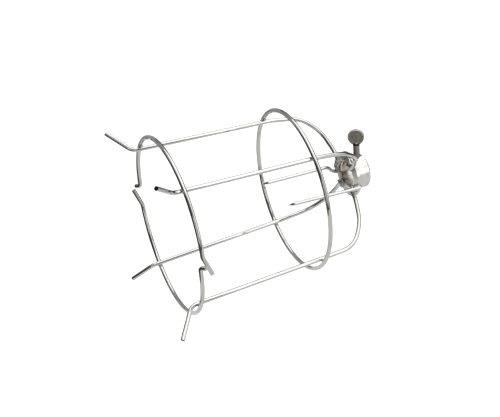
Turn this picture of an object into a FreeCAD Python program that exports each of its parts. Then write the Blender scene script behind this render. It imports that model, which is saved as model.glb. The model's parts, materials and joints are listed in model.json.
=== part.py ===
import FreeCAD, Part
import itertools
import math
import os

# Rotisserie spit cage, millimetres. +X runs along the spit bore from the open mouth of the
# cage towards the hub's outer end, +Z is up, and the near side of the cage is -Y.
# The origin is on the bore axis, where the clamp screw's axis meets it.
# Angles about X are in degrees from +Y towards +Z.

# Wire and rings
WIRE_R = 2.0
FRONT_RING_X = -188.0
REAR_RING_X = -67.0
FRONT_RING_R = 80.0
REAR_RING_R = 74.6
WELD_GAP = 0.1
TOP_HALF_X = FRONT_RING_X + 0.7
BOTTOM_HALF_X = FRONT_RING_X - 0.3
BOTTOM_HALF_YAW = -0.7

# Cage wires: the mouth flare, the straight run under the rings and the dome down to the hub
FLARE_BEND_X = FRONT_RING_X - 7.8
FLARE_BEND_R = 11.0
FLARE_TIP_X = FRONT_RING_X - 26.0
DOME_START_X = REAR_RING_X + 5.0
DOME_START_BEND_R = 60.0
SHOULDER_X = -33.8
HAUNCH_X = -18.2
HAUNCH_R = 48.0
LEG_TOP_R = 25.5
LEG_END_R = 16.0
BEND_SHARE = 0.45

# Each wire: angle at the mouth, at the rear ring and on the hub, flare tip radius, shoulder radius
CAGE_WIRES = {
    "far_top": (48.5, 48.0, 44.5, 98.7, 65.3),
    "near_top": (135.5, 137.0, 141.5, 98.0, 62.5),
    "far_bottom": (-50.0, -46.5, -45.5, 93.5, 63.5),
    "near_bottom": (-136.5, -136.0, -134.0, 103.0, 68.6),
}

# Latches of the two front half rings. Each half has a hooked end and a latch end that is kicked
# along the axis and a little outwards; directions are parts of X, of outwards and of up or down.
NEAR_HOOK_ARC_R = 63.0
FAR_HOOK_ARC_R = 68.0
HOOK_BEND_R = 2.8
HOOK_LEG = 2.7
HOOK_WAY = (1.0, 1.15)
KICK_BEND_R = 9.0
KICK_WAY = (0.355, 0.15, 1.0)
NEAR_HOOK_Z = -11.8
NEAR_KICK_Z = 3.4
NEAR_KICK_LEG = 15.6
FAR_HOOK_Z = 13.2
FAR_KICK_Z = -11.4
FAR_KICK_LEG = 15.6

# Hub: a flange disc pressed on the collar's spigot, and the spit bore through both
BORE_R = 11.5
MOUTH_CHAMFER = 0.8
FLANGE_X = -11.0
FLANGE_T = 3.6
FLANGE_R = 21.4
SPIGOT_R = 14.6
COLLAR_R = 16.0
COLLAR_END_X = 6.1
COLLAR_CHAMFER = 1.2
EDGE_BREAK = 0.3

# Prongs
PRONG_R = 1.7
PRONG_POINT = 5.5
PRONG_POINT_R = 0.35
PRONG_FAR_TIP = (-88.8, 16.0, 6.4)
PRONG_FAR_CRANK = ((-22.5, 16.0, 4.9), (-18.0, 16.0, -0.8))
PRONG_FAR_FOOT = (FLANGE_X - 0.6, 16.0, -2.1)
PRONG_NEAR_TIP = (-81.4, -22.4, -2.7)
PRONG_NEAR_FOOT = (-9.6, -22.6, -5.8)

# Clamp screw
SCREW_LEAN = 95.0
SCREW_R = 3.0
SCREW_CLEARANCE = 0.05
SCREW_TIP = 12.0
SCREW_SHOULDER = 26.6
SCREW_CHAMFER = 0.7
PIN_R = 1.8
PIN_L = 2.6
NECK_R = 3.2
NECK_L = 2.0
HEAD_CENTRE = 35.5
HEAD_R = 7.7
HEAD_T = 2.6
HEAD_EDGE = 0.5
HEAD_TURN = 30.0

# Weld beads: on the ring crossings, and runs along the flange face as arcs in degrees
RING_BEAD_R = 1.9
HUB_BEAD_R = 17.2
HUB_BEAD_HALF_X = 2.0
HUB_BEAD_HALF_R = 4.3
HUB_BEAD_LIFT = 0.55
HUB_BEAD_ARCS = {
    "top": (-14.0, 146.0),
    "far_bottom": (-57.0, -35.0),
    "near_bottom": (-147.0, -122.0),
}
PRONG_BEAD_R = 2.3
PRONG_BEAD_L = 3.6
PRONG_BEAD_END_X = FLANGE_X + 1.0

# Cutting tools run past the faces they cut by this much, and ring arcs take steps under this angle
OVERRUN = 1.0
RING_STEP = 60.0

V = FreeCAD.Vector
X_AXIS = V(1, 0, 0)


def polar(x, radius, degrees):
    """Point at a radius and an angle about the X axis."""
    angle = math.radians(degrees)
    return V(x, radius * math.cos(angle), radius * math.sin(angle))


def screw_point(radius):
    """Point on the clamp screw's axis, at a distance from the bore axis."""
    return polar(0.0, radius, SCREW_LEAN)


def arc_edge(start, tangent, direction, radius):
    """Circular bend that turns a tangent into a new direction; returns the edge and its end."""
    turn = tangent.getAngle(direction)
    side = (direction - tangent * tangent.dot(direction)).normalize()
    centre = start + side * radius

    def at(angle):
        return centre - side * (radius * math.cos(angle)) + tangent * (radius * math.sin(angle))

    return Part.Arc(start, at(turn / 2), at(turn)).toShape(), at(turn)


def bent_edges(points, largest=()):
    """Straight runs between the points, joined by tangent arcs as large as the runs allow.

    The first corners' arcs are also held to the largest radii given.
    """
    edges = []
    start = points[0]
    corners = zip(points, points[1:], points[2:])
    for (before, corner, after), most in itertools.zip_longest(corners, largest, fillvalue=math.inf):
        run_in = corner - before
        run_out = after - corner
        turn = run_in.getAngle(run_out)
        radius = min(most, BEND_SHARE * min(run_in.Length, run_out.Length) / math.tan(turn / 2))
        setback = radius * math.tan(turn / 2)
        along = V(run_in).normalize()
        bend_start = corner - along * setback
        edges.append(Part.LineSegment(start, bend_start).toShape())
        bend, start = arc_edge(bend_start, along, V(run_out).normalize(), radius)
        edges.append(bend)
    edges.append(Part.LineSegment(start, points[-1]).toShape())
    return edges


def round_rod(edges, radius):
    """Round wire swept along a tangent path."""
    path = Part.Wire(Part.__sortEdges__(edges))
    first = path.OrderedEdges[0]
    start = path.OrderedVertexes[0].Point
    along = first.tangentAt(first.FirstParameter)
    section = Part.Wire(Part.Circle(start, along, radius).toShape())
    rod = path.makePipeShell([section], True, False)
    area = math.pi * radius ** 2
    print("rod volume / section x length = %.4f" % (abs(rod.Volume) / (area * path.Length)))
    return rod


def wire_radius_at(x):
    """Centreline radius of a cage wire where it runs straight under both rings."""
    front = FRONT_RING_R - 2 * WIRE_R - WELD_GAP
    rear = REAR_RING_R - 2 * WIRE_R - WELD_GAP
    share = (x - FRONT_RING_X) / (REAR_RING_X - FRONT_RING_X)
    return front + (rear - front) * share


def wire_angle_at(x, mouth_angle, ring_angle):
    """Angle of a cage wire about the axis, which drifts a little from mouth to rear ring."""
    share = (x - FRONT_RING_X) / (REAR_RING_X - FRONT_RING_X)
    return mouth_angle + (ring_angle - mouth_angle) * share


def make_cage_wire(mouth_angle, ring_angle, hub_angle, tip_r, shoulder_r):
    """One long wire: flared tip, straight run, dome, and a radial leg on the flange face."""
    bend_angle = wire_angle_at(FLARE_BEND_X, mouth_angle, ring_angle)
    leg_x = FLANGE_X - WIRE_R - WELD_GAP
    points = [
        polar(FLARE_TIP_X, tip_r, bend_angle),
        polar(FLARE_BEND_X, wire_radius_at(FLARE_BEND_X), bend_angle),
        polar(DOME_START_X, wire_radius_at(DOME_START_X), ring_angle),
        polar(SHOULDER_X, shoulder_r, ring_angle),
        polar(HAUNCH_X, HAUNCH_R, (ring_angle + hub_angle) / 2),
        polar(leg_x, LEG_TOP_R, hub_angle),
        polar(leg_x, LEG_END_R, hub_angle),
    ]
    return round_rod(bent_edges(points, (FLARE_BEND_R, DOME_START_BEND_R)), WIRE_R)


def make_rear_ring():
    """Closed ring around the four wires where the dome starts."""
    return Part.makeTorus(REAR_RING_R, WIRE_R, V(REAR_RING_X, 0, 0), X_AXIS)


def ring_tangent(angle, turning):
    """Direction of travel round the X axis at an angle, turning +1 or -1."""
    return polar(0, turning, angle + 90)


def ring_run(start, from_angle, to_angle, radius):
    """Arc edges round the X axis from one angle to another, in steps under a right angle."""
    turning = 1 if to_angle > from_angle else -1
    steps = math.ceil(abs(to_angle - from_angle) / RING_STEP)
    edges = []
    point = start
    for step in range(steps):
        angle = from_angle + (to_angle - from_angle) * step / steps
        after = from_angle + (to_angle - from_angle) * (step + 1) / steps
        edge, point = arc_edge(point, ring_tangent(angle, turning), ring_tangent(after, turning), radius)
        edges.append(edge)
    return edges, point


def angle_at_height(z, radius, centre_z, side, up):
    """Angle where an arc round the X axis reaches a height, on the far (+1) or near (-1) side."""
    rise = math.degrees(math.asin((z - centre_z) / radius))
    return rise if side > 0 else 180.0 * up - rise


def hooked_end(crown_point, crown, wire_angle, arc_r, side, up, hook_z):
    """Edges from the crown over the wire to the hook, whose leg reaches outwards.

    Past its wire the end curls in a little, so that the leg crosses the line of the ring.
    """
    edges, point = ring_run(crown_point, crown, wire_angle, FRONT_RING_R)
    centre_z = (FRONT_RING_R - arc_r) * math.sin(math.radians(wire_angle))
    end_angle = angle_at_height(hook_z, arc_r, centre_z, side, up)
    curl, point = ring_run(point, wire_angle, end_angle, arc_r)
    turning = 1 if end_angle > crown else -1
    leg_way = V(-side * HOOK_WAY[0], side * HOOK_WAY[1], 0).normalize()
    hook, point = arc_edge(point, ring_tangent(end_angle, turning), leg_way, HOOK_BEND_R)
    leg = Part.LineSegment(point, point + leg_way * HOOK_LEG).toShape()
    return edges + curl + [hook, leg]


def latch_end(crown_point, crown, side, up, kick_z, kick_leg):
    """Edges from the crown to the straight latch end, kicked past the other half's hook."""
    kick_angle = angle_at_height(kick_z, FRONT_RING_R, 0.0, side, up)
    edges, point = ring_run(crown_point, crown, kick_angle, FRONT_RING_R)
    turning = 1 if kick_angle > crown else -1
    kick_way = V(-side * KICK_WAY[0], side * KICK_WAY[1], -up * KICK_WAY[2]).normalize()
    kick, point = arc_edge(point, ring_tangent(kick_angle, turning), kick_way, KICK_BEND_R)
    leg = Part.LineSegment(point, point + kick_way * kick_leg).toShape()
    return edges + [kick, leg]


def yaw_bottom_half(shape):
    """The lower half ring sits a little askew, turned about the vertical through its crown."""
    shape.rotate(V(BOTTOM_HALF_X, 0, 0), V(0, 0, 1), BOTTOM_HALF_YAW)
    return shape


def make_top_half_ring():
    """Upper half of the front ring, hooked on the far side and latching on the near side."""
    crown_point = polar(TOP_HALF_X, FRONT_RING_R, 90)
    wire_angle = CAGE_WIRES["far_top"][0]
    edges = hooked_end(crown_point, 90, wire_angle, FAR_HOOK_ARC_R, 1, 1, FAR_HOOK_Z)
    edges += latch_end(crown_point, 90, -1, 1, NEAR_KICK_Z, NEAR_KICK_LEG)
    return round_rod(edges, WIRE_R)


def make_bottom_half_ring():
    """Lower half of the front ring, hooked on the near side and latching on the far side."""
    crown_point = polar(BOTTOM_HALF_X, FRONT_RING_R, -90)
    wire_angle = CAGE_WIRES["near_bottom"][0]
    edges = hooked_end(crown_point, -90, wire_angle, NEAR_HOOK_ARC_R, -1, -1, NEAR_HOOK_Z)
    edges += latch_end(crown_point, -90, 1, -1, FAR_KICK_Z, FAR_KICK_LEG)
    return yaw_bottom_half(round_rod(edges, WIRE_R))


def make_prong(points):
    """Straight prong with a long drawn point; the first point is the tip."""
    along = (points[1] - points[0]).normalize()
    point_end = points[0] + along * PRONG_POINT
    spike = Part.makeCone(PRONG_POINT_R, PRONG_R, PRONG_POINT, points[0], along)
    shaft = round_rod(bent_edges([point_end] + points[1:]), PRONG_R)
    return shaft.fuse(spike).removeSplitter()


def make_flange():
    """Disc that carries the wires' legs, bored for the collar's spigot."""
    disc = Part.makeCylinder(FLANGE_R, FLANGE_T, V(FLANGE_X, 0, 0), X_AXIS)
    disc = disc.makeChamfer(EDGE_BREAK, disc.Edges)
    bore = Part.makeCylinder(SPIGOT_R, FLANGE_T + 2 * OVERRUN, V(FLANGE_X - OVERRUN, 0, 0), X_AXIS)
    return disc.cut(bore)


def screw_hole():
    """Clearance cylinder of the clamp screw's threaded hole."""
    start = screw_point(BORE_R - OVERRUN)
    length = COLLAR_R - BORE_R + 2 * OVERRUN
    return Part.makeCylinder(SCREW_R + SCREW_CLEARANCE, length, start, screw_point(1.0))


def make_collar():
    """Turned collar: spigot through the flange, chamfered outer end, bore and screw hole."""
    flange_back = FLANGE_X + FLANGE_T
    end = COLLAR_END_X
    profile = [
        (FLANGE_X, BORE_R + MOUTH_CHAMFER),
        (FLANGE_X, SPIGOT_R),
        (flange_back, SPIGOT_R),
        (flange_back, COLLAR_R),
        (end - COLLAR_CHAMFER, COLLAR_R),
        (end, COLLAR_R - COLLAR_CHAMFER),
        (end, BORE_R + MOUTH_CHAMFER),
        (end - MOUTH_CHAMFER, BORE_R),
        (FLANGE_X + MOUTH_CHAMFER, BORE_R),
    ]
    outline = Part.makePolygon([V(x, r, 0) for x, r in profile + profile[:1]])
    body = Part.Face(outline).revolve(V(0, 0, 0), X_AXIS, 360)
    return body.cut(screw_hole())


def make_screw_shank():
    """Screw shank with a chamfered tip and a turned-down pin that carries the head."""
    way = screw_point(1.0)
    rod_start = SCREW_TIP + SCREW_CHAMFER
    tip = Part.makeCone(SCREW_R - SCREW_CHAMFER, SCREW_R, SCREW_CHAMFER, screw_point(SCREW_TIP), way)
    rod = Part.makeCylinder(SCREW_R, SCREW_SHOULDER - rod_start, screw_point(rod_start), way)
    pin = Part.makeCylinder(PIN_R, PIN_L, screw_point(SCREW_SHOULDER), way)
    return tip.fuse([rod, pin]).removeSplitter()


def make_screw_head():
    """Flat disc head, edge on to the screw's axis, on a short neck bored for the shank's pin."""
    way = screw_point(1.0)
    neck_start = SCREW_SHOULDER + SCREW_CLEARANCE
    collar = Part.makeCylinder(NECK_R, NECK_L, screw_point(neck_start), way)
    root = Part.makeCone(NECK_R, HEAD_T / 2, NECK_L, screw_point(neck_start + NECK_L), way)
    level = polar(0.0, 1.0, SCREW_LEAN + 90)
    turn = math.radians(HEAD_TURN)
    face_way = level * math.cos(turn) - X_AXIS * math.sin(turn)
    disc = Part.makeCylinder(HEAD_R, HEAD_T, screw_point(HEAD_CENTRE) - face_way * (HEAD_T / 2), face_way)
    disc = disc.makeFillet(HEAD_EDGE, disc.Edges)
    bore = Part.makeCylinder(PIN_R + SCREW_CLEARANCE, PIN_L + SCREW_CLEARANCE, screw_point(neck_start), way)
    return disc.fuse([collar, root]).cut(bore).removeSplitter()


def ball(centre, radius):
    """Round bead centred on a point."""
    return Part.makeSphere(radius, centre)


def make_ring_beads(ring_x, ring_r, angles):
    """Resistance-weld beads where cage wires cross under a ring."""
    contact = ring_r - WIRE_R - WELD_GAP / 2
    return Part.makeCompound([ball(polar(ring_x, contact, angle), RING_BEAD_R) for angle in angles])


def make_hub_bead(from_angle, to_angle):
    """Weld run along the flange face, with an oval section cut flush with the face."""
    centre = V(FLANGE_X - HUB_BEAD_HALF_X * HUB_BEAD_LIFT, HUB_BEAD_R, 0)
    oval = Part.Ellipse(centre, HUB_BEAD_HALF_R, HUB_BEAD_HALF_X).toShape()
    oval.rotate(centre, V(0, 0, 1), 90)
    section = Part.Face(Part.Wire(oval))
    section.rotate(V(0, 0, 0), X_AXIS, from_angle)
    run = section.revolve(V(0, 0, 0), X_AXIS, to_angle - from_angle)
    side = 2 * (FLANGE_R + HUB_BEAD_HALF_R)
    return run.cut(Part.makeBox(FLANGE_T, side, side, V(FLANGE_X, -side / 2, -side / 2)))


def make_prong_bead():
    """Weld along the near prong's foot, where it lies on the flange rim."""
    foot = V(*PRONG_NEAR_FOOT)
    inwards = V(0, -foot.y, -foot.z).normalize()
    end = V(PRONG_BEAD_END_X, foot.y, foot.z) + inwards * (PRONG_R + WELD_GAP / 2)
    start = end - X_AXIS * PRONG_BEAD_L
    run = Part.makeCylinder(PRONG_BEAD_R, PRONG_BEAD_L, start, X_AXIS)
    return run.fuse([ball(start, PRONG_BEAD_R), ball(end, PRONG_BEAD_R)]).removeSplitter()


def wire_angles(names, column):
    """Angles of the named cage wires: column 0 at the mouth, 1 at the rear ring."""
    return [CAGE_WIRES[name][column] for name in names]


def build_nodes():
    """All sub-parts by node name."""
    nodes = {"cage_wire_" + name: make_cage_wire(*values) for name, values in CAGE_WIRES.items()}
    nodes["rear_ring"] = make_rear_ring()
    nodes["front_half_ring_top"] = make_top_half_ring()
    nodes["front_half_ring_bottom"] = make_bottom_half_ring()
    nodes["prong_far"] = make_prong([V(*p) for p in (PRONG_FAR_TIP, *PRONG_FAR_CRANK, PRONG_FAR_FOOT)])
    nodes["prong_near"] = make_prong([V(*PRONG_NEAR_TIP), V(*PRONG_NEAR_FOOT)])
    nodes["hub_flange"] = make_flange()
    nodes["hub_collar"] = make_collar()
    nodes["clamp_screw_shank"] = make_screw_shank()
    nodes["clamp_screw_head"] = make_screw_head()
    top = wire_angles(("far_top", "near_top"), 0)
    bottom = wire_angles(("far_bottom", "near_bottom"), 0)
    nodes["front_ring_welds_top"] = make_ring_beads(TOP_HALF_X, FRONT_RING_R, top)
    nodes["front_ring_welds_bottom"] = yaw_bottom_half(make_ring_beads(BOTTOM_HALF_X, FRONT_RING_R, bottom))
    nodes["rear_ring_welds"] = make_ring_beads(REAR_RING_X, REAR_RING_R, wire_angles(CAGE_WIRES, 1))
    for name, arc in HUB_BEAD_ARCS.items():
        nodes["hub_weld_" + name] = make_hub_bead(*arc)
    nodes["hub_weld_near_prong"] = make_prong_bead()
    return nodes


def main():
    os.makedirs("parts", exist_ok=True)
    for name, shape in build_nodes().items():
        print("%-26s solids %d volume %.1f mm3" % (name, len(shape.Solids), shape.Volume))
        shape.exportStep("parts/%s.step" % name)


main()
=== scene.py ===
import json
import math

import bmesh
import bpy
from mathutils import Matrix, Vector, noise


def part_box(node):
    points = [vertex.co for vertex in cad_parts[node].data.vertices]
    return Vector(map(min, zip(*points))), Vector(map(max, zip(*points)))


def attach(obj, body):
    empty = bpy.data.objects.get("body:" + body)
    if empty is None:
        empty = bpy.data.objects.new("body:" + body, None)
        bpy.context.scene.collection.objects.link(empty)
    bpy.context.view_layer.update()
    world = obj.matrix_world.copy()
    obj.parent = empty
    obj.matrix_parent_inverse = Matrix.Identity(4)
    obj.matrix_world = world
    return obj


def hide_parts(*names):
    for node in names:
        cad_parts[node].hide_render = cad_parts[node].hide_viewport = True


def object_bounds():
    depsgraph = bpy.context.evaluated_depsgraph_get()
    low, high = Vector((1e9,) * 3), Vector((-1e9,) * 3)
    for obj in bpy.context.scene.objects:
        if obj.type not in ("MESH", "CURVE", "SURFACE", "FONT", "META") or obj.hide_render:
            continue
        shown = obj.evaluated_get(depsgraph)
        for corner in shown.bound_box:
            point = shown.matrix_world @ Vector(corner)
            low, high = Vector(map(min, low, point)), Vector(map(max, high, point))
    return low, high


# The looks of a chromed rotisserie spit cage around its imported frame. Metres, +X along the spit
# bore from the cage's open mouth to the hub's outer end, +Z up. Noise scales are per metre.

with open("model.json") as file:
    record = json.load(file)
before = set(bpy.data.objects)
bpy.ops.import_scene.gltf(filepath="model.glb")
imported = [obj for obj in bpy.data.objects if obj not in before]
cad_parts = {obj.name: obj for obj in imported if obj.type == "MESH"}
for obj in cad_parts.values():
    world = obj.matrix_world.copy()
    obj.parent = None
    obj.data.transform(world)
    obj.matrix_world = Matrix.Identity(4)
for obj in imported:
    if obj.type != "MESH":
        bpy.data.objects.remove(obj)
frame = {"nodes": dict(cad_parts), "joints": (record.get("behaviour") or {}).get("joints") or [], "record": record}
cad_low, cad_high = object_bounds()

MM = 0.001
IMAGE_W = 500

# Camera: where it stands, the ways that its picture runs right and down, and its lens
CAMERA_AT = Vector((-0.4528, -0.9120, 0.4428))
CAMERA_RIGHT = Vector((0.9100, -0.3983, -0.1154))
CAMERA_DOWN = Vector((-0.2648, -0.3440, -0.9009))
FOCAL_PIXELS = 1187.0
SENSOR_MM = 36.0
NEAR_CLIP = 0.01

# Floor, and the two sheets that reflections show in its place, as (low, high) corners in x and y
WHITE = (1.0, 1.0, 1.0, 1.0)
FLOOR_SIZE = 9.0
FLOOR_GAP = 0.02 * MM
FLOOR_TONES = ((0.90, 0.90, 0.895, 1), (0.93, 0.93, 0.93, 1))
FLOOR_TONE_SCALE = 3.0
FLOOR_ROUGH = (0.7, 0.9)
FLOOR_ROUGH_SCALE = 40.0
FLOOR_SPECULAR = 0.1
TABLE_GLOW = 0.95
TABLE_TOP = ((-0.275, -0.45), (0.22, 0.15))
TABLE_TOP_GLOW = 0.80
TABLE_FAR = ((-0.36, 0.15), (0.45, 0.80))
TABLE_FAR_GLOW = 0.34

# Studio: what the walls, the ceiling and the backdrop give off. The walls turn into the ceiling
# between two sines of elevation.
WALL_GLOW = 0.10
CEILING_GLOW = 0.75
BACKDROP_GLOW = 1.0
WALL_TO_CEILING = (0.35, 1.0)

# Cards: azimuth and elevation in degrees, distance, width and height in metres, radiance
CARDS = {
    "ceiling_softbox": (350, 74, 1.1, 1.6, 1.5, 1.75),
    "near_wall": (322, 14, 1.2, 1.2, 1.0, 1.05),
    "front_strip": (295, 25, 0.95, 0.32, 0.86, 1.95),
    "front_wall": (258, 12, 1.25, 0.7, 0.9, 0.5),
    "left_strip": (230, 8, 1.0, 0.26, 0.5, 1.5),
    "left_flag": (164, -2, 0.42, 0.5, 0.22, 0.02),
    "left_high_flag": (190, 28, 0.9, 1.1, 0.6, 0.04),
    "rear_grey": (108, 14, 0.6, 0.62, 0.34, 0.42),
    "rear_flag": (60, 6, 0.65, 0.5, 0.34, 0.14),
}

# Finishes: bright and dull colour, share that is dull, roughness span, grain scale, dent height
WIRE_LOOK = ((0.60, 0.595, 0.57), (0.53, 0.525, 0.49), 0.35, (0.02, 0.09), 900.0, 0.008 * MM)
PRONG_LOOK = ((0.60, 0.595, 0.58), (0.50, 0.49, 0.46), 0.4, (0.04, 0.12), 900.0, 0.008 * MM)
WELD_LOOK = ((0.60, 0.59, 0.555), (0.30, 0.29, 0.265), 0.45, (0.18, 0.40), 700.0, 0.12 * MM)
SHANK_LOOK = ((0.31, 0.29, 0.255), (0.19, 0.175, 0.15), 0.5, (0.48, 0.68), 900.0, 0.10 * MM)
DISC_LOOK = ((0.36, 0.335, 0.29), (0.22, 0.20, 0.165), 0.5, (0.28, 0.5), 900.0, 0.06 * MM)

# Turned finishes: bright and dull colour, roughness span
COLLAR_LOOK = ((0.68, 0.675, 0.65), (0.58, 0.57, 0.53), (0.06, 0.18))
FLANGE_LOOK = ((0.68, 0.665, 0.62), (0.52, 0.50, 0.45), (0.18, 0.34))

# Colours of marks
BARE_END = (0.07, 0.07, 0.065, 1.0)
# Painted shade: the colour of the bore's inner wall, darker the way a hollow looks
BORE_SHADE = (0.49, 0.465, 0.42, 1.0)
GROUND_GREY = (0.10, 0.10, 0.10, 1.0)
MOTTLE_BROWN = (0.15, 0.135, 0.105, 1.0)
# Painted highlight: the paler colour of the disc's rim
RIM_HIGHLIGHT = (0.66, 0.64, 0.60, 1.0)
# Painted shadow: the near-black colour where the screw's neck meets its disc
NECK_SHADOW = (0.015, 0.014, 0.013, 1.0)

# What all finishes share: dulled patches, dark specks, grain and shallow waves
PATCH_SCALE = 55.0
PATCH_FADE = 0.12
SPECK_FINER = 1.7
SPECK_SPAN = (0.62, 0.80)
SPECK_SHARE = 0.35
SPECK_DARKER = 0.6
UNEVEN_SPAN = (0.2, 0.8)
WAVE_SCALE = 120.0
WAVE_STRENGTH = 0.25
GRAIN_STRENGTH = 0.35
GRAIN_HEIGHT = 0.35

# What the turned finishes share: tool marks, broader bands, stains and painted shade in the bore
TOOL_MARK_SCALE = 2600.0
TOOL_MARK_STRENGTH = 0.5
TOOL_MARK_HEIGHT = 0.010 * MM
BAND_SCALE = 700.0
BAND_SPAN = (0.45, 0.75)
BAND_SHARE = 0.45
BAND_DARKER = 0.8
BAND_STRENGTH = 0.4
BAND_HEIGHT = 0.02 * MM
STAIN_SCALE = 90.0
STAIN_SPAN = (0.42, 0.68)
POLISH_SPAN = (0.4, 1.4)
BORE_FADE = (0.1 * MM, 0.5 * MM)
BORE_ROUGHER = 0.08

# Wire ends and prong points
CAP_REACH = 4.1 * MM
CAP_FADE = (2.3 * MM, 2.6 * MM)
CAP_FACING = (0.80, 0.92)
CAP_ROUGHER = 0.3
GROUND_POINT = 5.5 * MM
GROUND_FADE = 1.0 * MM
GROUND_WANDER = 1.5 * MM
GROUND_WANDER_SCALE = 400.0

# Hub
BORE_R = 11.5 * MM
SPIGOT_R = 14.6 * MM
MOUTH_CHAMFER = 0.8 * MM
COLLAR_CHAMFER = 1.2 * MM
EDGE_BREAK = 0.3 * MM
HOLE_CLEARANCE = 0.05 * MM
CUTTER_PAST = 1.0 * MM
LATHE_FACETS = 192
HOLE_FACETS = 64
SHARP_ANGLE = math.radians(28)

# Skins of weld metal and of the screw's head
WELD_VOXEL = 0.28 * MM
WELD_LUMP = 0.85 * MM
CROSSING_VOXEL = 0.18 * MM
CROSSING_LUMP = 0.22 * MM
LUMP_LENGTHS = 4.5
HEAD_VOXEL = 0.22 * MM
HEAD_LUMP = 0.05 * MM
HEAD_LUMP_SIZE = 1.2 * MM
SOFTEN_ROUNDS = 3
BALL_SUBDIVISIONS = 3
FINE_LUMP_SHARE = 0.5
FINE_LUMP_FINER = 2.7
FINE_LUMP_SHIFT = Vector((7, 3, 1))

# Weld metal run over the flange, standing proud of it: degrees round the bore from the top towards
# the near side, distance from the axis, height of the middle over the face and radius in millimetres
HUB_RUNS = (
    (-14, 17.4, 0.6, 2.5),
    (4, 16.0, 1.0, 2.9),
    (21, 15.9, 1.4, 2.9),
    (37, 16.2, 1.4, 3.1),
    (52, 17.6, 0.8, 2.7),
)

# Clamp screw. Its way points out of the collar. A crest's half width is a share of a turn and its
# flanks fall by so many depths a turn, so two flanks meet before they reach the full depth.
SCREW_WAY = -Vector(frame["joints"][0]["axis"]).normalized()
THREAD_PITCH = 1.0 * MM
THREAD_DEPTH = 0.24 * MM
THREAD_FACETS = 56
THREAD_STEPS_A_TURN = 10
CREST_HALF = 0.28
FLANK_SLOPE = 3.5
LEAD_IN_TURNS = 0.8
HEAD_PIN_LENGTH = 2.6 * MM
HEAD_PIN_SHARE = 0.6

# The screw's disc: rim painted paler as a highlight, mottled face, painted shadow from the neck's corner outwards
NECK_CORNER = 0.78
NECK_FADE = 0.5 * MM
RIM_WIDTH = 0.5 * MM
RIM_WANDER = 0.6 * MM
RIM_WANDER_SCALE = 500.0
RIM_SMOOTHER = 0.18
MOTTLE_SCALE = 480.0
MOTTLE_SPAN = (0.42, 0.58)
MOTTLE_SHARE = 0.75
NECK_SHADOW_INSIDE = (1.6 * MM, 1.0 * MM)
NECK_SHADOW_OUTSIDE = (0.5 * MM, 0.9 * MM)


# ---------------------------------------------------------------- node helpers

class Shader:
    """A node tree with short calls for what the materials repeat."""

    def __init__(self, tree):
        self.tree = tree
        tree.nodes.clear()

    def node(self, kind, values=(), **settings):
        made = self.tree.nodes.new(kind)
        for name, value in settings.items():
            setattr(made, name, value)
        for name, value in dict(values).items():
            self.put(made.inputs[name], value)
        return made

    def put(self, socket, value):
        if isinstance(value, bpy.types.NodeSocket):
            self.tree.links.new(value, socket)
        else:
            socket.default_value = value

    def noise(self, where, scale, detail=3.0, roughness=0.55):
        values = {"Vector": where, "Scale": scale, "Detail": detail, "Roughness": roughness}
        return self.node("ShaderNodeTexNoise", values).outputs["Fac"]

    def span(self, value, low, high, to_low=0.0, to_high=1.0):
        values = {"Value": value, "From Min": low, "From Max": high, "To Min": to_low, "To Max": to_high}
        return self.node("ShaderNodeMapRange", values).outputs["Result"]

    def fade(self, value, low, high):
        return self.span(value, low, high, 1.0, 0.0)

    def mix(self, share, first, second):
        made = self.node("ShaderNodeMix", data_type="RGBA")
        for socket, value in zip((made.inputs[0], made.inputs[6], made.inputs[7]), (share, first, second)):
            self.put(socket, value)
        return made.outputs[2]

    def math(self, operation, first, second=0.0):
        made = self.node("ShaderNodeMath", operation=operation)
        self.put(made.inputs[0], first)
        self.put(made.inputs[1], second)
        return made.outputs[0]

    def times(self, first, second):
        return self.math("MULTIPLY", first, second)

    def plus(self, first, second):
        return self.math("ADD", first, second)

    def measure(self, operation, first, second=(0.0, 0.0, 0.0)):
        """A number worked out from vectors: LENGTH, DISTANCE or DOT_PRODUCT."""
        made = self.node("ShaderNodeVectorMath", {0: first, 1: second}, operation=operation)
        return made.outputs["Value"]

    def bump(self, height, strength, distance, normal=None):
        values = {"Height": height, "Strength": strength, "Distance": distance}
        if normal is not None:
            values["Normal"] = normal
        return self.node("ShaderNodeBump", values).outputs["Normal"]


def new_material(name):
    material = bpy.data.materials.new(name)
    material.use_nodes = True
    shader = Shader(material.node_tree)
    bsdf = shader.node("ShaderNodeBsdfPrincipled")
    shader.node("ShaderNodeOutputMaterial", {"Surface": bsdf.outputs[0]})
    where = shader.node("ShaderNodeTexCoord").outputs["Object"]
    return material, shader, bsdf, where


# ---------------------------------------------------------------- stage

def add_camera():
    data = bpy.data.cameras.new("camera")
    data.sensor_width = SENSOR_MM
    data.lens = FOCAL_PIXELS * SENSOR_MM / IMAGE_W
    data.clip_start = NEAR_CLIP
    right = CAMERA_RIGHT.normalized()
    up = -(CAMERA_DOWN - right * CAMERA_DOWN.dot(right)).normalized()
    back = right.cross(up)
    camera = bpy.data.objects.new("camera", data)
    axes = Matrix((right, up, back)).transposed().to_4x4()
    camera.matrix_world = Matrix.Translation(CAMERA_AT) @ axes
    bpy.context.scene.collection.objects.link(camera)
    bpy.context.scene.camera = camera


def quad(name, corners):
    mesh = bpy.data.meshes.new(name)
    mesh.from_pydata([tuple(c) for c in corners], [], [(0, 1, 2, 3)])
    made = bpy.data.objects.new(name, mesh)
    bpy.context.scene.collection.objects.link(made)
    return made


def floor_height():
    """Height of the floor at an x: the plane that touches the front and the rear ring from below."""
    front_low, front_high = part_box("front_half_ring_bottom")
    rear_low, rear_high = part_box("rear_ring")
    front_x = (front_low.x + front_high.x) / 2
    rear_x = (rear_low.x + rear_high.x) / 2
    slope = (rear_low.z - front_low.z) / (rear_x - front_x)
    return lambda x: front_low.z + (x - front_x) * slope - FLOOR_GAP


def flat_rectangle(name, low, high, height):
    corners = [(low[0], low[1]), (high[0], low[1]), (high[0], high[1]), (low[0], high[1])]
    return quad(name, [(x, y, height(x)) for x, y in corners])


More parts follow.
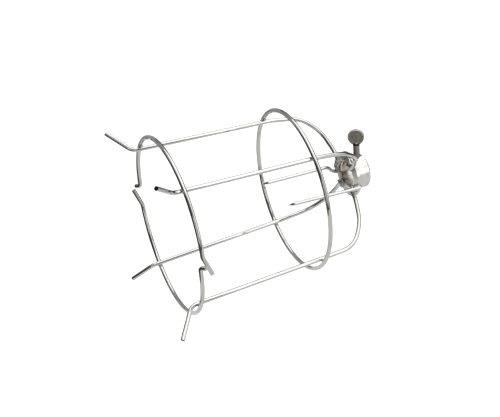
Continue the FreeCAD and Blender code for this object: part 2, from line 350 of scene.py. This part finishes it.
def light_card(card, radiance):
    """Makes a sheet glow evenly, out of sight of the camera, diffuse light and shadows."""
    material = bpy.data.materials.new(card.name)
    material.use_nodes = True
    s = Shader(material.node_tree)
    glow = s.node("ShaderNodeEmission", {"Color": WHITE, "Strength": radiance})
    s.node("ShaderNodeOutputMaterial", {"Surface": glow.outputs[0]})
    card.data.materials.append(material)
    card.visible_camera = False
    card.visible_diffuse = False
    card.visible_shadow = False


def add_floor():
    """A glowing floor, and just under it the near and far sheets that the metal reflects instead."""
    height = floor_height()
    half = FLOOR_SIZE / 2
    floor = flat_rectangle("floor", (-half, -half), (half, half), height)
    material, s, bsdf, where = new_material("light_table")
    s.put(bsdf.inputs["Base Color"], s.mix(s.noise(where, FLOOR_TONE_SCALE), *FLOOR_TONES))
    s.put(bsdf.inputs["Roughness"], s.span(s.noise(where, FLOOR_ROUGH_SCALE), 0.0, 1.0, *FLOOR_ROUGH))
    bsdf.inputs["Specular IOR Level"].default_value = FLOOR_SPECULAR
    bsdf.inputs["Emission Color"].default_value = WHITE
    bsdf.inputs["Emission Strength"].default_value = TABLE_GLOW
    floor.data.materials.append(material)
    floor.visible_glossy = False
    top = flat_rectangle("table_top", *TABLE_TOP, lambda x: height(x) - FLOOR_GAP)
    light_card(top, TABLE_TOP_GLOW)
    far = flat_rectangle("table_far", *TABLE_FAR, lambda x: height(x) - FLOOR_GAP)
    light_card(far, TABLE_FAR_GLOW)


def add_world():
    """Dim studio walls under a paler ceiling; the camera sees them as a white backdrop."""
    world = bpy.data.worlds.new("studio")
    bpy.context.scene.world = world
    world.use_nodes = True
    s = Shader(world.node_tree)
    way = s.node("ShaderNodeTexCoord").outputs["Generated"]
    height = s.node("ShaderNodeSeparateXYZ", {"Vector": way}).outputs["Z"]
    glow = s.span(height, *WALL_TO_CEILING, WALL_GLOW, CEILING_GLOW)
    seen = s.node("ShaderNodeLightPath").outputs["Is Camera Ray"]
    glow = s.plus(glow, s.times(seen, BACKDROP_GLOW))
    background = s.node("ShaderNodeBackground", {"Color": WHITE, "Strength": glow})
    s.node("ShaderNodeOutputWorld", {"Surface": background.outputs[0]})


def add_card(name, azimuth, elevation, distance, width, height, radiance):
    """A studio card facing the cage: bright for a softbox, dark for a flag.

    Azimuth is from +X towards +Y and elevation is above the horizon, in degrees.
    """
    turn, rise = math.radians(azimuth), math.radians(elevation)
    way = Vector((math.cos(turn) * math.cos(rise), math.sin(turn) * math.cos(rise), math.sin(rise)))
    side = Vector((-math.sin(turn), math.cos(turn), 0.0)) * (width / 2)
    up = way.cross(side).normalized() * (height / 2)
    centre = (cad_low + cad_high) / 2 + way * distance
    card = quad(name, [centre - side - up, centre + side - up, centre + side + up, centre - side + up])
    light_card(card, radiance)


def add_cards():
    for name, placing in CARDS.items():
        add_card(name, *placing)


# ---------------------------------------------------------------- materials

def metal(name, bright, dull, dull_share, rough, grain_scale, bump_height, marks=None):
    """Bare or plated metal: patches of dulled finish, uneven roughness, fine grain and dents."""
    material, s, bsdf, where = new_material(name)
    edge = 1.0 - dull_share
    patches = s.span(s.noise(where, PATCH_SCALE, detail=4.0), edge - PATCH_FADE, edge + PATCH_FADE)
    grain = s.noise(where, grain_scale, detail=5.0)
    speck = s.span(s.noise(where, grain_scale * SPECK_FINER, detail=2.0), *SPECK_SPAN)
    darker = tuple(SPECK_DARKER * c for c in dull)
    tone = s.mix(patches, (*bright, 1.0), (*dull, 1.0))
    tone = s.mix(s.times(speck, SPECK_SHARE), tone, (*darker, 1.0))
    uneven = s.plus(s.times(grain, 0.5), s.times(patches, 0.5))
    roughness = s.span(uneven, *UNEVEN_SPAN, *rough)
    if marks:
        tone, roughness = marks(s, where, tone, roughness)
    s.put(bsdf.inputs["Base Color"], tone)
    bsdf.inputs["Metallic"].default_value = 1.0
    s.put(bsdf.inputs["Roughness"], roughness)
    waves = s.bump(s.noise(where, WAVE_SCALE, detail=2.0), WAVE_STRENGTH, bump_height)
    s.put(bsdf.inputs["Normal"], s.bump(grain, GRAIN_STRENGTH, bump_height * GRAIN_HEIGHT, waves))
    return material


def round_the_axis(s, where):
    """Position as (x, distance from the bore axis, 0), for marks left by a lathe, and that distance."""
    parts = s.node("ShaderNodeSeparateXYZ", {"Vector": where})
    across = s.node("ShaderNodeCombineXYZ", {"Y": parts.outputs["Y"], "Z": parts.outputs["Z"]})
    radius = s.measure("LENGTH", across.outputs[0])
    turned = s.node("ShaderNodeCombineXYZ", {"X": parts.outputs["X"], "Y": radius}).outputs[0]
    return turned, radius


def turned_steel(name, bright, dull, rough):
    """Lathe-turned and plated steel: fine circumferential marks, soft stains, painted shade in the bore."""
    material, s, bsdf, where = new_material(name)
    turned, radius = round_the_axis(s, where)
    marks = s.noise(turned, TOOL_MARK_SCALE, detail=2.0)
    bands = s.noise(turned, BAND_SCALE, detail=2.0)
    stain = s.span(s.noise(where, STAIN_SCALE, detail=4.0), *STAIN_SPAN)
    # Painted shade: the bore's inner wall takes a darker colour, and is also made rougher
    bore = s.fade(radius, *(BORE_R + past for past in BORE_FADE))
    darker = tuple(BAND_DARKER * c for c in dull)
    tone = s.mix(stain, (*bright, 1.0), (*dull, 1.0))
    tone = s.mix(s.span(bands, *BAND_SPAN, 0.0, BAND_SHARE), tone, (*darker, 1.0))
    s.put(bsdf.inputs["Base Color"], s.mix(bore, tone, BORE_SHADE))
    bsdf.inputs["Metallic"].default_value = 1.0
    polished = s.span(s.plus(marks, stain), *POLISH_SPAN, *rough)
    s.put(bsdf.inputs["Roughness"], s.plus(polished, s.times(bore, BORE_ROUGHER)))
    broad = s.bump(bands, BAND_STRENGTH, BAND_HEIGHT)
    s.put(bsdf.inputs["Normal"], s.bump(marks, TOOL_MARK_STRENGTH, TOOL_MARK_HEIGHT, broad))
    return material


def ground_point(tip_x):
    """Marks of a prong's ground point, which stays dark."""
    def marks(s, where, tone, roughness):
        x = s.node("ShaderNodeSeparateXYZ", {"Vector": where}).outputs["X"]
        wander = s.times(s.noise(where, GROUND_WANDER_SCALE), GROUND_WANDER)
        edge = tip_x + GROUND_POINT
        ground = s.fade(s.plus(x, wander), edge - GROUND_FADE, edge)
        return s.mix(ground, tone, GROUND_GREY), roughness
    return marks


def disc_marks(centre, radius, corner):
    """Marks of the screw's disc: a rim painted paler as a highlight and made smoother, and a painted shadow where
    the neck meets the disc.
    """
    def marks(s, where, tone, roughness):
        off = s.measure("DISTANCE", where, centre)
        along = s.measure("DOT_PRODUCT", where, SCREW_WAY)
        wander = s.times(s.noise(where, RIM_WANDER_SCALE), RIM_WANDER)
        # Painted highlight: a band round the disc's rim, away from the neck, is coloured paler and made smoother
        rim_band = s.span(s.plus(off, wander), radius - RIM_WIDTH, radius)
        mottle = s.span(s.noise(where, MOTTLE_SCALE, detail=6.0, roughness=0.75), *MOTTLE_SPAN)
        low_down = s.fade(along, corner, corner + NECK_FADE)
        rim = s.math("SUBTRACT", rim_band, s.times(rim_band, low_down))
        # Painted shadow: near black on the disc close to where the neck meets it
        inside = s.span(off, *(radius - short for short in NECK_SHADOW_INSIDE))
        outside = s.fade(off, *(radius + past for past in NECK_SHADOW_OUTSIDE))
        neck_shadow = s.times(s.times(low_down, inside), outside)
        tone = s.mix(s.times(mottle, MOTTLE_SHARE), tone, MOTTLE_BROWN)
        tone = s.mix(rim, tone, RIM_HIGHLIGHT)
        tone = s.mix(neck_shadow, tone, NECK_SHADOW)
        return tone, s.math("SUBTRACT", roughness, s.times(rim, RIM_SMOOTHER))
    return marks


def end_cap(mesh):
    """Middle and outward way of the flat cap at a wire's open end, the one farthest from the hub."""
    tip = min(mesh.vertices, key=lambda v: v.co.x).co
    same_way = {}
    for face in mesh.polygons:
        if (face.center - tip).length < CAP_REACH:
            same_way.setdefault(tuple(round(c, 2) for c in face.normal), []).append(face)
    cap = max(same_way.values(), key=lambda faces: sum(f.area for f in faces))
    total = sum(f.area for f in cap)
    centre = sum((f.center * f.area for f in cap), Vector()) / total
    return centre, cap[0].normal.copy()


def cut_end(node):
    """Marks of a wire's sawn end: its flat cap stays bare and dark."""
    centre, way = end_cap(frame["nodes"][node].data)

    def marks(s, where, tone, roughness):
        near = s.fade(s.measure("DISTANCE", where, centre), *CAP_FADE)
        normal = s.node("ShaderNodeNewGeometry").outputs["True Normal"]
        facing = s.span(s.measure("DOT_PRODUCT", normal, way), *CAP_FACING)
        bare = s.times(near, facing)
        return s.mix(bare, tone, BARE_END), s.plus(roughness, s.times(bare, CAP_ROUGHER))
    return marks


MATERIALS = {
    "wire_chrome": metal("wire_chrome", *WIRE_LOOK),
    "hub_steel": turned_steel("turned_steel", *COLLAR_LOOK),
    "weld_bead": metal("weld_metal", *WELD_LOOK),
    "screw_nickel": metal("dull_nickel", *SHANK_LOOK),
}
FLANGE_STEEL = turned_steel("flange_steel", *FLANGE_LOOK)


def node_material(name, slot):
    """The material of a CAD node: wires and prongs have one each, marked at their own ends."""
    if slot == "prong_chrome":
        return metal(name + "_chrome", *PRONG_LOOK, ground_point(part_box(name)[0].x))
    if name.startswith("cage_wire"):
        return metal(name + "_chrome", *WIRE_LOOK, cut_end(name))
    return MATERIALS[slot]


def dress_frame():
    for part in frame["record"]["subparts"]:
        node = frame["nodes"][part["node"]]
        node.data.materials.clear()
        node.data.materials.append(node_material(part["node"], part["material_slot"]))


# ---------------------------------------------------------------- pieces

def add_piece(name, mesh, body, slot, node, material=None, sharp=None):
    """Puts a finished mesh in place of a CAD node."""
    piece = bpy.data.objects.new(name, mesh)
    bpy.context.scene.collection.objects.link(piece)
    mesh.materials.clear()
    mesh.materials.append(material or MATERIALS[slot])
    for face in mesh.polygons:
        face.use_smooth = True
    if sharp:
        mesh.set_sharp_from_angle(angle=sharp)
    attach(piece, body)
    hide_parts(node)


def finished(name, built):
    """A mesh from a bmesh, with its faces turned outwards."""
    bmesh.ops.recalc_face_normals(built, faces=built.faces)
    mesh = bpy.data.meshes.new(name)
    built.to_mesh(mesh)
    built.free()
    return mesh


def remeshed(node, voxel, lumps=()):
    """A node's solid and any round lumps as one evenly meshed skin, melted together."""
    built = bmesh.new()
    built.from_mesh(frame["nodes"][node].data)
    for centre, radius in lumps:
        place = Matrix.Translation(centre)
        bmesh.ops.create_icosphere(built, subdivisions=BALL_SUBDIVISIONS, radius=radius, matrix=place)
    mixed = bpy.data.meshes.new("mixed")
    built.to_mesh(mixed)
    built.free()
    source = bpy.data.objects.new("source", mixed)
    bpy.context.scene.collection.objects.link(source)
    remesh = source.modifiers.new("skin", "REMESH")
    remesh.mode = "VOXEL"
    remesh.voxel_size = voxel
    smooth = source.modifiers.new("soften", "SMOOTH")
    smooth.iterations = SOFTEN_ROUNDS
    depsgraph = bpy.context.evaluated_depsgraph_get()
    mesh = bpy.data.meshes.new_from_object(source.evaluated_get(depsgraph))
    bpy.data.objects.remove(source)
    return mesh


def lumpy(mesh, height, size):
    """Moves a skin in and out by two sizes of noise; size is the larger lump's, in metres."""
    moves = []
    for vertex in mesh.vertices:
        at = vertex.co / size
        fine = noise.noise(at * FINE_LUMP_FINER + FINE_LUMP_SHIFT)
        swell = noise.noise(at) + FINE_LUMP_SHARE * fine
        moves.append(vertex.co + vertex.normal * (height * swell))
    mesh.vertices.foreach_set("co", [c for move in moves for c in move])
    mesh.update()


def hub_runs():
    """Lumps of weld metal on the flange's face, as (centre, radius)."""
    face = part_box("hub_flange")[0].x
    for angle, off_axis, proud, size in HUB_RUNS:
        turn = math.radians(angle)
        y, z = -off_axis * math.sin(turn), off_axis * math.cos(turn)
        yield Vector((face - proud * MM, y * MM, z * MM)), size * MM


def add_welds():
    for part in frame["record"]["subparts"]:
        if part["material_slot"] != "weld_bead":
            continue
        node = part["node"]
        on_hub = node.startswith("hub")
        voxel = WELD_VOXEL if on_hub else CROSSING_VOXEL
        lump = WELD_LUMP if on_hub else CROSSING_LUMP
        lumps = tuple(hub_runs()) if node == "hub_weld_top" else ()
        mesh = remeshed(node, voxel, lumps)
        lumpy(mesh, lump, LUMP_LENGTHS * lump)
        add_piece(node + "_metal", mesh, "cage", "weld_bead", node)


def lathe(name, outline):
    """Mesh turned round the bore axis, from a closed outline of (x, radius)."""
    built = bmesh.new()
    rings = []
    for facet in range(LATHE_FACETS):
        angle = 2 * math.pi * facet / LATHE_FACETS
        rings.append([built.verts.new((x, r * math.cos(angle), r * math.sin(angle))) for x, r in outline])
    for here, there in zip(rings, rings[1:] + rings[:1]):
        for i in range(len(outline)):
            j = (i + 1) % len(outline)
            built.faces.new((here[i], here[j], there[j], there[i]))
    return finished(name, built)


def cut_screw_hole(mesh, radius, start, end):
    """The mesh with the screw's hole through its wall, between two distances from the bore axis."""
    built = bmesh.new()
    turn = SCREW_WAY.to_track_quat("Z", "Y").to_matrix().to_4x4()
    place = Matrix.Translation(SCREW_WAY * ((start + end) / 2)) @ turn
    bmesh.ops.create_cone(built, cap_ends=True, segments=HOLE_FACETS, radius1=radius, radius2=radius,
                          depth=end - start, matrix=place)
    cutter = bpy.data.objects.new("cutter", finished("cutter", built))
    body = bpy.data.objects.new("body", mesh)
    for made in (cutter, body):
        bpy.context.scene.collection.objects.link(made)
    hole = body.modifiers.new("hole", "BOOLEAN")
    hole.operation = "DIFFERENCE"
    hole.solver = "EXACT"
    hole.object = cutter
    depsgraph = bpy.context.evaluated_depsgraph_get()
    cut = bpy.data.meshes.new_from_object(body.evaluated_get(depsgraph))
    bpy.data.objects.remove(body)
    bpy.data.objects.remove(cutter)
    return cut


def along_and_off(node):
    """Each vertex's place along the screw's axis, and its distance from that axis."""
    along, off = [], []
    for vertex in frame["nodes"][node].data.vertices:
        t = vertex.co.dot(SCREW_WAY)
        along.append(t)
        off.append((vertex.co - SCREW_WAY * t).length)
    return along, off


def screw_span():
    """Ends and radius of the shank's rod along the screw's axis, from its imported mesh."""
    along, off = along_and_off("clamp_screw_shank")
    return min(along), max(along), max(off)


def add_hub():
    face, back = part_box("hub_flange")[0].x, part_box("hub_flange")[1].x
    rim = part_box("hub_flange")[1].y
    end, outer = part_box("hub_collar")[1].x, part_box("hub_collar")[1].y
    flange = [
        (face + EDGE_BREAK, SPIGOT_R),
        (face, SPIGOT_R + EDGE_BREAK),
        (face, rim - EDGE_BREAK),
        (face + EDGE_BREAK, rim),
        (back - EDGE_BREAK, rim),
        (back, rim - EDGE_BREAK),
        (back, SPIGOT_R),
    ]
    collar = [
        (face, BORE_R + MOUTH_CHAMFER),
        (face, SPIGOT_R - EDGE_BREAK),
        (face + EDGE_BREAK, SPIGOT_R),
        (back, SPIGOT_R),
        (back, outer - EDGE_BREAK),
        (back + EDGE_BREAK, outer),
        (end - COLLAR_CHAMFER, outer),
        (end, outer - COLLAR_CHAMFER),
        (end, BORE_R + MOUTH_CHAMFER),
        (end - MOUTH_CHAMFER, BORE_R),
        (face + MOUTH_CHAMFER, BORE_R),
    ]
    plain = lathe("turned_flange", flange)
    add_piece("turned_flange", plain, "cage", "hub_steel", "hub_flange", FLANGE_STEEL, SHARP_ANGLE)
    hole_r = screw_span()[-1] + HOLE_CLEARANCE
    whole = lathe("turned_collar", collar)
    drilled = cut_screw_hole(whole, hole_r, BORE_R - CUTTER_PAST, outer + CUTTER_PAST)
    add_piece("turned_collar", drilled, "cage", "hub_steel", "hub_collar", sharp=SHARP_ANGLE)


def add_screw_head():
    """The flat disc and its neck, with softened edges and slightly uneven faces."""
    along, off = along_and_off("clamp_screw_head")
    radius = max(off)
    centre = max(along) - radius
    marks = disc_marks(SCREW_WAY * centre, radius, centre - NECK_CORNER * radius)
    nickel = metal("disc_nickel", *DISC_LOOK, marks)
    mesh = remeshed("clamp_screw_head", HEAD_VOXEL)
    lumpy(mesh, HEAD_LUMP, HEAD_LUMP_SIZE)
    add_piece("thumb_disc", mesh, "screw_head", "screw_nickel", "clamp_screw_head", nickel)


def shank_radius(t, share, start, thread_end, radius):
    """The shank's radius at a distance along the screw and a share of a turn round it."""
    if t > thread_end:
        return HEAD_PIN_SHARE * radius
    lead_in = min(1.0, (t - start) / (LEAD_IN_TURNS * THREAD_PITCH))
    crest = radius - (1.0 - lead_in) * THREAD_DEPTH
    phase = (t / THREAD_PITCH - share) % 1.0
    flank = min(1.0, max(0.0, (abs(phase - 0.5) - CREST_HALF) * FLANK_SLOPE))
    return crest - THREAD_DEPTH * flank


def add_screw_shank():
    """Threaded shank: a rod whose radius rises and falls along a helix, with a plain pin in the head."""
    start, end, radius = screw_span()
    side = SCREW_WAY.cross(Vector((1, 0, 0))).normalized()
    other = SCREW_WAY.cross(side)
    rows = int((end - start) / THREAD_PITCH * THREAD_STEPS_A_TURN)
    verts, faces = [], []
    for row in range(rows + 1):
        t = start + (end - start) * row / rows
        for facet in range(THREAD_FACETS):
            share = facet / THREAD_FACETS
            r = shank_radius(t, share, start, end - HEAD_PIN_LENGTH, radius)
            angle = 2 * math.pi * share
            verts.append(SCREW_WAY * t + side * (r * math.cos(angle)) + other * (r * math.sin(angle)))
    for row in range(rows):
        for facet in range(THREAD_FACETS):
            a = row * THREAD_FACETS + facet
            b = row * THREAD_FACETS + (facet + 1) % THREAD_FACETS
            faces.append((a, b, b + THREAD_FACETS, a + THREAD_FACETS))
    faces.append(tuple(range(THREAD_FACETS - 1, -1, -1)))
    faces.append(tuple(range(rows * THREAD_FACETS, (rows + 1) * THREAD_FACETS)))
    rough = bpy.data.meshes.new("rough_shank")
    rough.from_pydata([tuple(v) for v in verts], [], faces)
    built = bmesh.new()
    built.from_mesh(rough)
    mesh = finished("threaded_shank", built)
    add_piece("threaded_shank", mesh, "screw_shank", "screw_nickel", "clamp_screw_shank")


add_camera()
add_floor()
add_world()
add_cards()
dress_frame()
add_hub()
add_welds()
add_screw_head()
add_screw_shank()
bpy.context.scene.view_settings.view_transform = "Standard"
